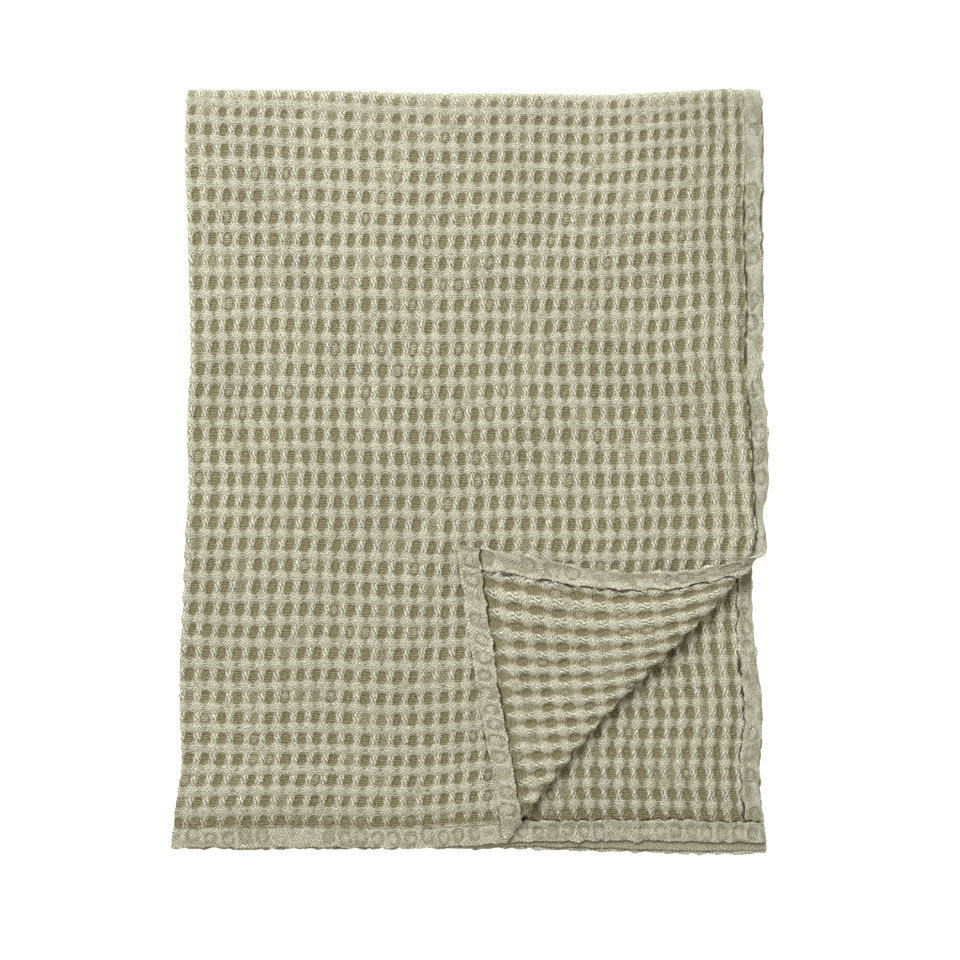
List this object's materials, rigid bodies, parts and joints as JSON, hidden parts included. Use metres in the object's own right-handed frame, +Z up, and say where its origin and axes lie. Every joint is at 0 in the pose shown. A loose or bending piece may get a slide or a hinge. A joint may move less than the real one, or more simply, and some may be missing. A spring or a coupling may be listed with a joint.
{
  "type": "waffle weave blanket",
  "caption": "Cotton cot blanket in a deep waffle weave, hemmed all round, folded into quarters and lying flat with one corner turned back.",
  "frame": {"origin": "middle of the folded blanket's footprint, on the surface it lies on", "axes": "+Z up, +Y towards the rolled top fold, +X towards the open side with the turned corner"},
  "size_m": [0.3908, 0.5002, 0.0234],
  "materials": {
    "waffle_cotton": "matt washed cotton in sage green"
  },
  "bodies": {
    "root": {"blanket": "waffle_cotton"}
  },
  "joints": []
}
